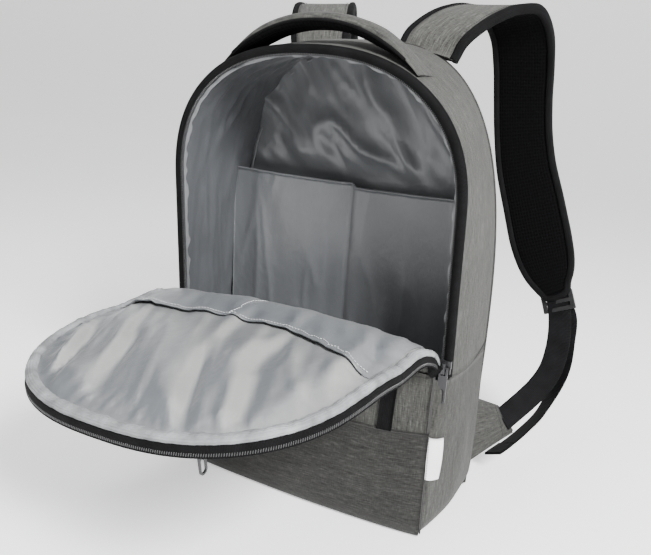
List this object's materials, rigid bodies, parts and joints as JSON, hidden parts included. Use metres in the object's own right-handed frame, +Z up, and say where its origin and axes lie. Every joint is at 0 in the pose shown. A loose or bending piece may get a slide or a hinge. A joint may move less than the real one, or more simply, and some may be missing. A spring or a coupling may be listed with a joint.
{
  "type": "solar backpack",
  "caption": "Zip-round backpack with forward-opening flap, lined compartment, laptop sleeve, shoulder straps, grab handle and thin solar leaves on the flap.",
  "frame": {"origin": "centre of the base, on the surface the bag stands on", "axes": "+Z up, -Y the bag's front where the flap opens, +X the bag's right seen from the front"},
  "size_m": [0.437, 0.5214, 0.493],
  "materials": {
    "heather": "melange woven polyester, fine vertical slub",
    "heather_dark": "melange woven polyester, cross grain",
    "lining": "satin polyester lining, crinkled",
    "flap_lining": "satin polyester lining, crinkled",
    "air_mesh": "knitted spacer mesh",
    "zip_tape": "herringbone zip tape",
    "zip_coil": "nylon coil",
    "webbing": "ribbed webbing",
    "buckle": "moulded acetal, fine texture",
    "dark_metal": "gunmetal plated zinc",
    "solar_edge": "coated canvas edge",
    "solar_cell": "laminated silicon cells",
    "tag": "woven satin label"
  },
  "bodies": {
    "root": {"back_panel": "heather", "back_pad_left": "air_mesh", "back_pad_right": "air_mesh", "gusset_left": "heather", "gusset_right": "heather", "gusset_top": "heather", "side_panel_left": "heather", "side_panel_right": "heather", "bottom_panel": "heather_dark", "front_panel": "heather", "front_pocket": "heather_dark", "body_lining": "lining", "floor_lining": "lining", "laptop_sleeve": "lining", "front_bands": "webbing", "rear_piping": "heather_dark", "seam_tag": "tag", "body_zip_tape": "zip_tape", "body_zip_coil": "zip_coil", "strap_yoke": "heather_dark", "anchor_patch_left": "heather", "anchor_patch_right": "heather", "handle_anchors": "heather"},
    "flap_base": {"flap_base_shell": "heather", "flap_base_lining": "flap_lining", "flap_base_zip": "zip_tape"},
    "flap_mid": {"flap_mid_shell": "heather", "flap_mid_lining": "flap_lining", "flap_mid_zip": "zip_tape", "flap_slip_pocket": "flap_lining", "solar_leaf_lower": "solar_edge", "solar_cells_lower": "solar_cell", "charge_box": "buckle"},
    "flap_tip": {"flap_tip_shell": "heather", "flap_tip_lining": "flap_lining", "flap_tip_zip": "zip_tape", "outer_zip": "zip_tape", "solar_leaf_upper": "solar_edge", "solar_cells_upper": "solar_cell"},
    "handle": {"handle_cover": "heather", "handle_underside": "air_mesh"},
    "slider_left": {"slider_left": "dark_metal"},
    "puller_left": {"puller_left": "dark_metal"},
    "outer_slider_left": {"outer_slider_left": "dark_metal"},
    "outer_puller_left": {"outer_puller_left": "dark_metal"},
    "strap_left": {"strap_cover_left": "heather", "strap_mesh_left": "air_mesh", "ladder_lock_left": "buckle", "strap_web_left": "webbing"},
    "web_tail_left": {"web_tail_left": "webbing"},
    "slider_right": {"slider_right": "dark_metal"},
    "puller_right": {"puller_right": "dark_metal"},
    "outer_slider_right": {"outer_slider_right": "dark_metal"},
    "outer_puller_right": {"outer_puller_right": "dark_metal"},
    "strap_right": {"strap_cover_right": "heather", "strap_mesh_right": "air_mesh", "ladder_lock_right": "buckle", "strap_web_right": "webbing"},
    "web_tail_right": {"web_tail_right": "webbing"}
  },
  "joints": [
    {"name": "flap_hinge", "type": "hinge", "parent": "root", "child": "flap_base", "pos_m": [0, -0.0455, 0.15989], "axis": [-1, 0, 0], "range_deg": [-15, 52.8]},
    {"name": "flap_bend", "type": "hinge", "parent": "flap_base", "child": "flap_mid", "pos_m": [0, -0.08407, 0.18494], "axis": [-1, 0, 0], "range_deg": [-8.99, 31.4]},
    {"name": "flap_droop", "type": "hinge", "parent": "flap_mid", "child": "flap_tip", "pos_m": [0, -0.17903, 0.18776], "axis": [-1, 0, 0], "range_deg": [-3.79, 13.1]},
    {"name": "handle_swing", "type": "hinge", "parent": "root", "child": "handle", "pos_m": [0, -0.042, 0.429], "axis": [1, 0, 0], "range_deg": [-12, 12]},
    {"name": "slider_left_travel", "type": "slide", "parent": "root", "child": "slider_left", "axis": [0, -0.0732, 0.9973], "range_m": [0, 0.125]},
    {"name": "puller_left_swing", "type": "hinge", "parent": "slider_left", "child": "puller_left", "pos_m": [-0.148, -0.0509, 0.16651], "axis": [-1, 0, 0], "range_deg": [0, 150]},
    {"name": "slider_right_travel", "type": "slide", "parent": "root", "child": "slider_right", "axis": [0, -0.0732, 0.9973], "range_m": [0, 0.125]},
    {"name": "puller_right_swing", "type": "hinge", "parent": "slider_right", "child": "puller_right", "pos_m": [0.148, -0.0509, 0.16651], "axis": [-1, 0, 0], "range_deg": [0, 150]},
    {"name": "outer_slider_left_travel", "type": "slide", "parent": "flap_tip", "child": "outer_slider_left", "axis": [1, 0, 0], "range_m": [0, 0.056]},
    {"name": "outer_puller_left_swing", "type": "hinge", "parent": "outer_slider_left", "child": "outer_puller_left", "pos_m": [-0.076, -0.26633, 0.16022], "axis": [0, -0.9806, -0.1959], "range_deg": [-80, 80]},
    {"name": "outer_slider_right_travel", "type": "slide", "parent": "flap_tip", "child": "outer_slider_right", "axis": [-1, 0, 0], "range_m": [0, 0.04]},
    {"name": "outer_puller_right_swing", "type": "hinge", "parent": "outer_slider_right", "child": "outer_puller_right", "pos_m": [0.05, -0.26633, 0.16022], "axis": [0, -0.9806, -0.1959], "range_deg": [-80, 80]},
    {"name": "strap_left_swing", "type": "hinge", "parent": "root", "child": "strap_left", "pos_m": [-0.06, 0.066, 0.446], "axis": [-0.2829, 0.083, -0.9555], "range_deg": [-18, 18]},
    {"name": "web_tail_left_swing", "type": "hinge", "parent": "strap_left", "child": "web_tail_left", "pos_m": [-0.202, 0.204, 0.162], "axis": [1, 0, 0], "range_deg": [0, 30]},
    {"name": "strap_right_swing", "type": "hinge", "parent": "root", "child": "strap_right", "pos_m": [0.06, 0.066, 0.446], "axis": [0.2829, 0.083, -0.9555], "range_deg": [-18, 18]},
    {"name": "web_tail_right_swing", "type": "hinge", "parent": "strap_right", "child": "web_tail_right", "pos_m": [0.202, 0.204, 0.162], "axis": [1, 0, 0], "range_deg": [0, 30]}
  ],
  "couplings": [
    {"joint": "flap_bend", "follows": "flap_hinge", "ratio": 0.5928},
    {"joint": "flap_droop", "follows": "flap_hinge", "ratio": 0.24621}
  ]
}
